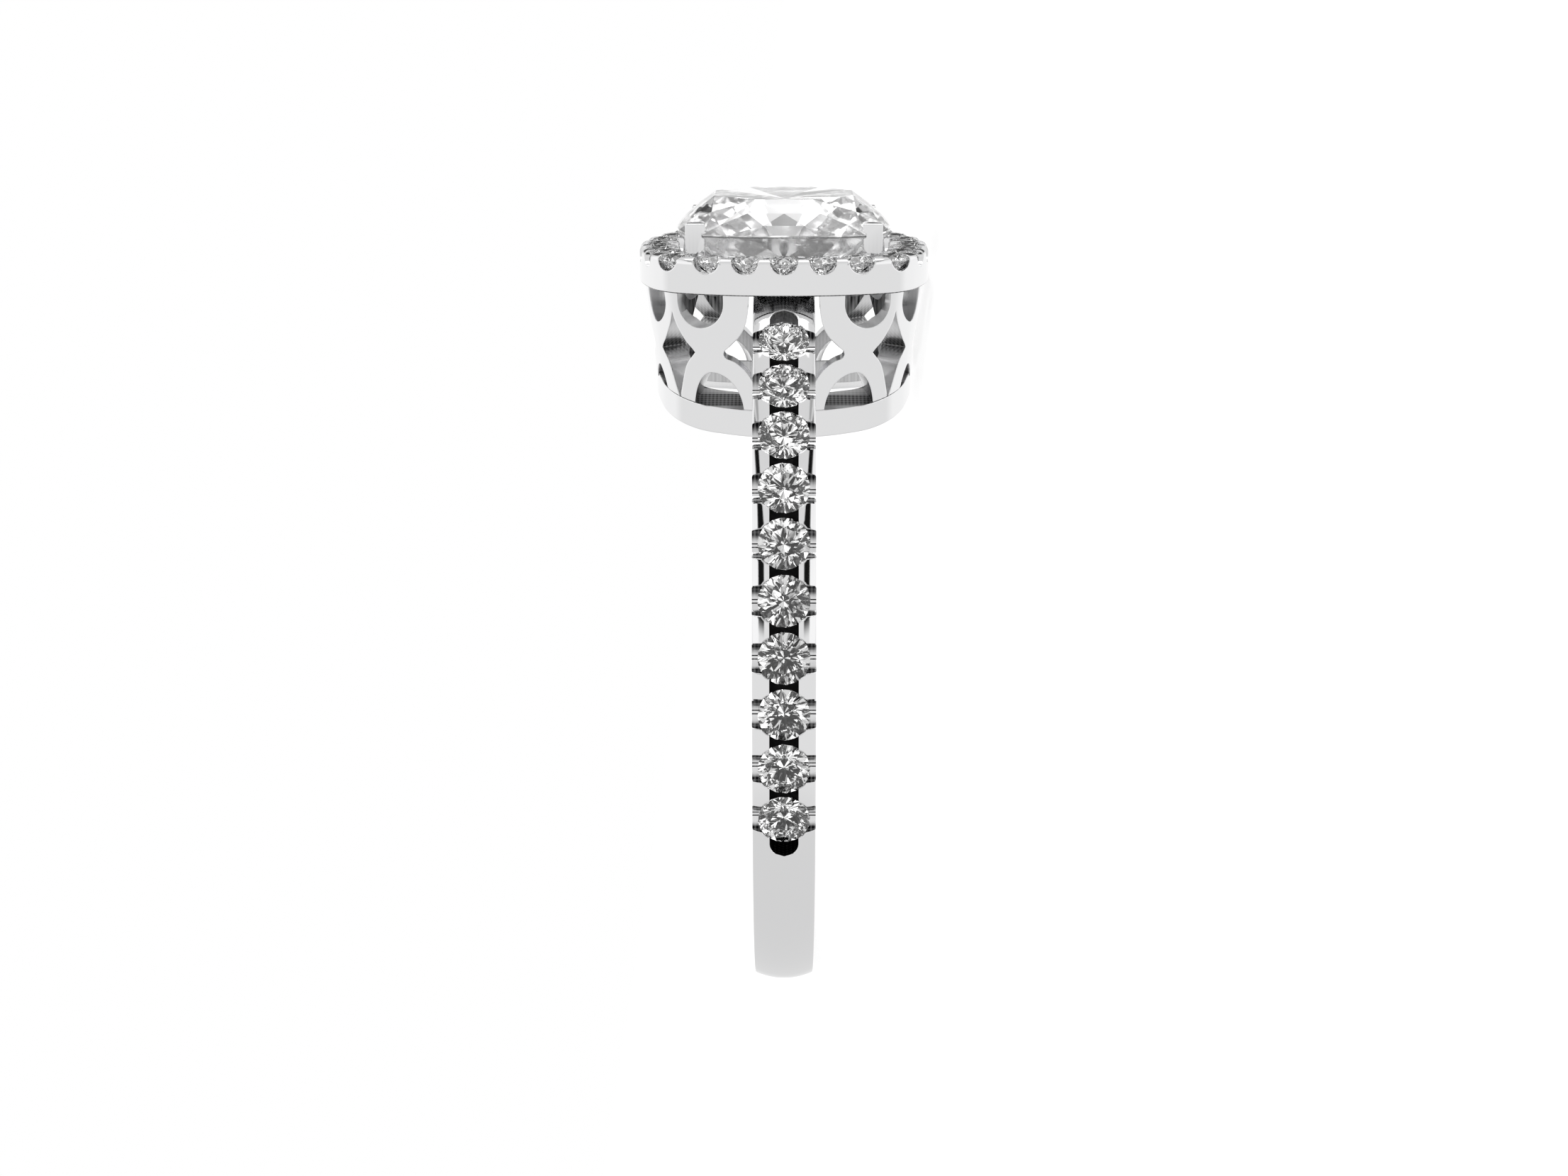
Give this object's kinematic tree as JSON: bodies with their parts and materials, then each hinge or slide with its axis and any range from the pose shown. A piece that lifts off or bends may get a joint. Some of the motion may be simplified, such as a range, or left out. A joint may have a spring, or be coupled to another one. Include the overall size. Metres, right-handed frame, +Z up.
{
  "type": "halo ring",
  "caption": "Slim halo engagement ring with a cushion-cut centre stone in prongs, a stone-set cushion halo over an openwork gallery, and cathedral shoulders set with stones.",
  "frame": {"origin": "middle of the bounding box, on the surface that the ring rests on", "axes": "the ring lies on its side: +X runs along the ring from the band's far end towards the head, +Z is up, and the ring is symmetric from side to side along Y"},
  "size_m": [0.0246, 0.0202, 0.0087],
  "materials": {
    "metal": "polished",
    "centre_stone": "polished"
  },
  "bodies": {
    "root": {"band_and_setting": "metal", "centre_stone": "centre_stone"}
  },
  "joints": []
}
